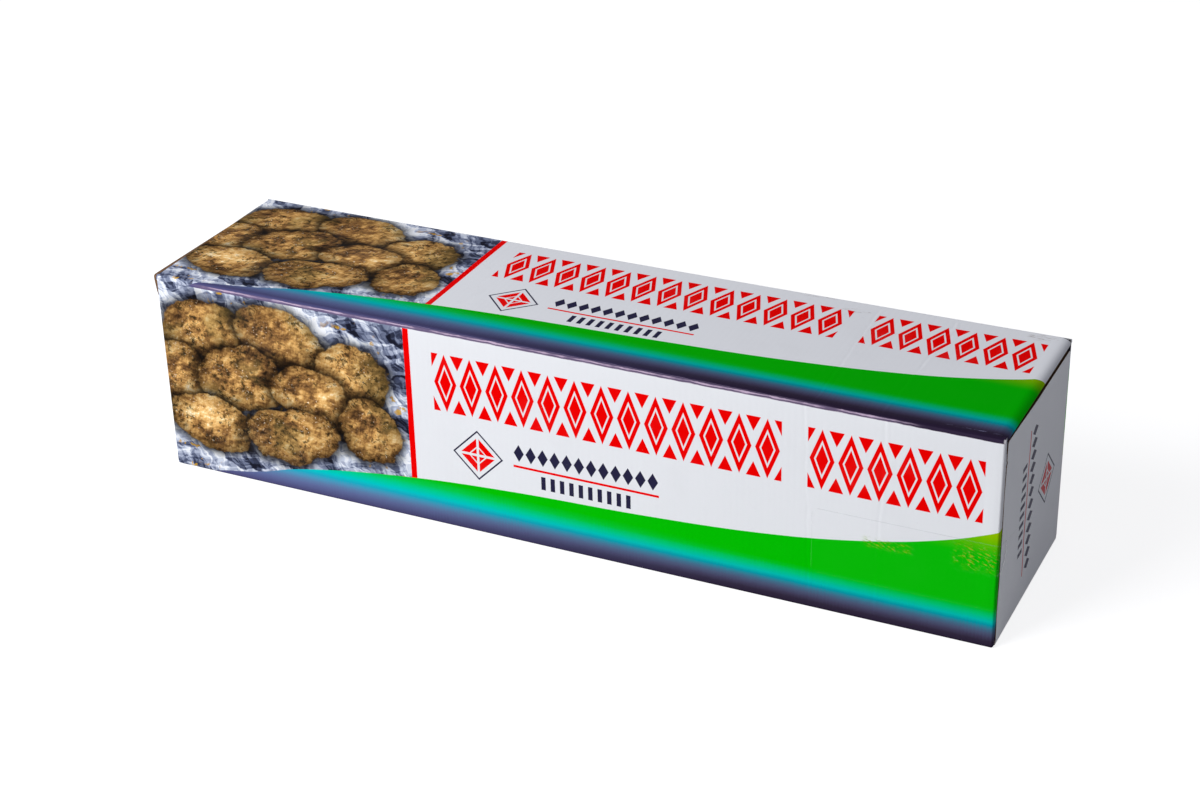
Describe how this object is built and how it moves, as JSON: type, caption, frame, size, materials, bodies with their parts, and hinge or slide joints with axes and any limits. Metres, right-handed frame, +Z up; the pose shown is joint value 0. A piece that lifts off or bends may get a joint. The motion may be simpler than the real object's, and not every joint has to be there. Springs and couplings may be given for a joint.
{
  "type": "boxed aluminium foil roll",
  "caption": "Closed carton of printed fluted board with a wide roll of kitchen foil inside, scored folds, glued end flaps and a strip of clear tape.",
  "frame": {"origin": "on the ground under the middle of the carton's bounding box", "axes": "+X along the roll towards the taped end, -Y out of the front panel, +Z up from the bottom panel"},
  "size_m": [0.3101, 0.0751, 0.076],
  "materials": {
    "printed_board": "printed, satin",
    "clear_film": "clear gloss"
  },
  "bodies": {
    "root": {"sealed_carton": "printed_board", "clear_tape": "clear_film"}
  },
  "joints": []
}
